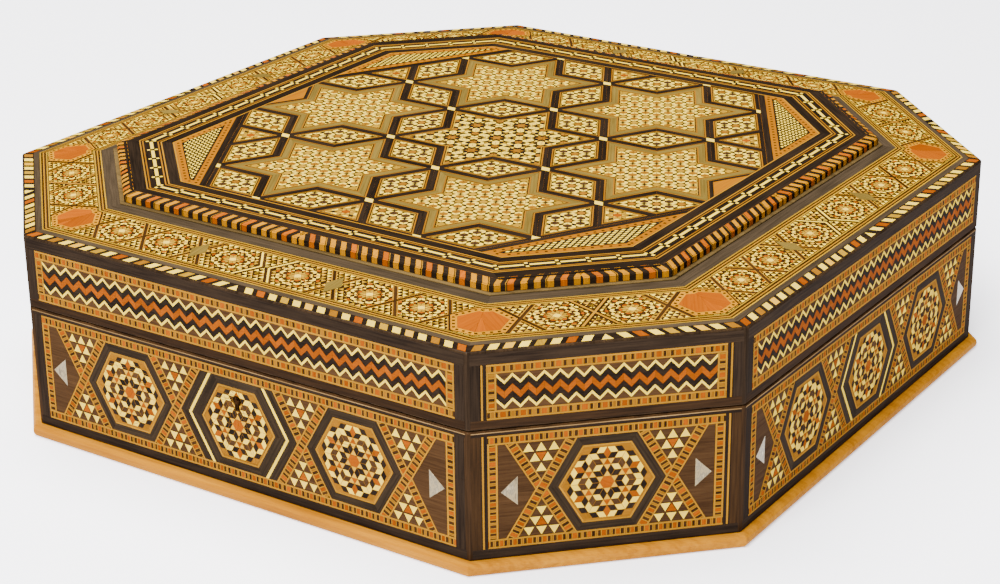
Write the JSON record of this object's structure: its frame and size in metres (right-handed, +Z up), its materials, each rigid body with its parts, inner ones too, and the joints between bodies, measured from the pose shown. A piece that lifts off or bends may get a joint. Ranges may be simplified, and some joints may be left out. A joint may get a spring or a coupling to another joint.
{
  "type": "inlaid jewelry box",
  "caption": "Octagonal wooden jewelry box with geometric inlay, a hinged lid with a raised panel, a small lock and a velvet lining.",
  "frame": {"origin": "centre of the underside of the base board", "axes": "+Z up, -Y out of the face with the keyhole, +X to the right of it; the hinges are at +Y"},
  "size_m": [0.306, 0.306, 0.0808],
  "materials": {
    "base_wood": "satin varnish",
    "core_wood": "plain",
    "side_marquetry": "gloss varnish",
    "border_marquetry": "gloss varnish",
    "panel_marquetry": "gloss varnish",
    "walnut": "satin varnish",
    "rope_inlay": "gloss varnish",
    "velvet": "velvet",
    "brass": "satin",
    "steel": "satin"
  },
  "bodies": {
    "case": {"base_board": "base_wood", "case_wall_right": "core_wood", "case_wall_back_right": "core_wood", "case_wall_back": "core_wood", "case_wall_back_left": "core_wood", "case_wall_left": "core_wood", "case_wall_front_left": "core_wood", "case_wall_front": "core_wood", "case_wall_front_right": "core_wood", "case_veneer_right": "side_marquetry", "case_veneer_back_right": "side_marquetry", "case_veneer_back": "side_marquetry", "case_veneer_back_left": "side_marquetry", "case_veneer_left": "side_marquetry", "case_veneer_front_left": "side_marquetry", "case_veneer_front": "side_marquetry", "case_veneer_front_right": "side_marquetry", "bottom_pad": "velvet", "wall_lining": "velvet", "hinge_case_leaf_left": "brass", "hinge_case_leaf_right": "brass", "hinge_pin_left": "brass", "hinge_pin_right": "brass", "hinge_case_screw_left_outer": "brass", "hinge_case_screw_left_inner": "brass", "hinge_case_screw_right_outer": "brass", "hinge_case_screw_right_inner": "brass", "lock_case": "brass", "lock_spring": "steel"},
    "lid": {"lid_wall_right": "core_wood", "lid_wall_back_right": "core_wood", "lid_wall_back": "core_wood", "lid_wall_back_left": "core_wood", "lid_wall_left": "core_wood", "lid_wall_front_left": "core_wood", "lid_wall_front": "core_wood", "lid_wall_front_right": "core_wood", "lid_veneer_right": "side_marquetry", "lid_veneer_back_right": "side_marquetry", "lid_veneer_back": "side_marquetry", "lid_veneer_back_left": "side_marquetry", "lid_veneer_left": "side_marquetry", "lid_veneer_front_left": "side_marquetry", "lid_veneer_front": "side_marquetry", "lid_veneer_front_right": "side_marquetry", "lid_lining": "velvet", "lid_board": "core_wood", "lid_border": "border_marquetry", "raised_plinth": "walnut", "rope_moulding": "rope_inlay", "panel_board": "core_wood", "panel_veneer": "panel_marquetry", "hinge_lid_leaf_left": "brass", "hinge_lid_leaf_right": "brass", "hinge_lid_screw_left_outer": "brass", "hinge_lid_screw_left_inner": "brass", "hinge_lid_screw_right_outer": "brass", "hinge_lid_screw_right_inner": "brass", "link_plate": "brass"},
    "lock_bolt": {"lock_bolt": "brass"}
  },
  "joints": [
    {"name": "lid_hinge", "type": "hinge", "parent": "case", "child": "lid", "pos_m": [0, 0.15135, 0.04785], "axis": [-1, 0, 0], "range_deg": [0, 98]},
    {"name": "lock_bolt_slide", "type": "slide", "parent": "case", "child": "lock_bolt", "axis": [1, 0, 0], "range_m": [0, 0.004]}
  ]
}
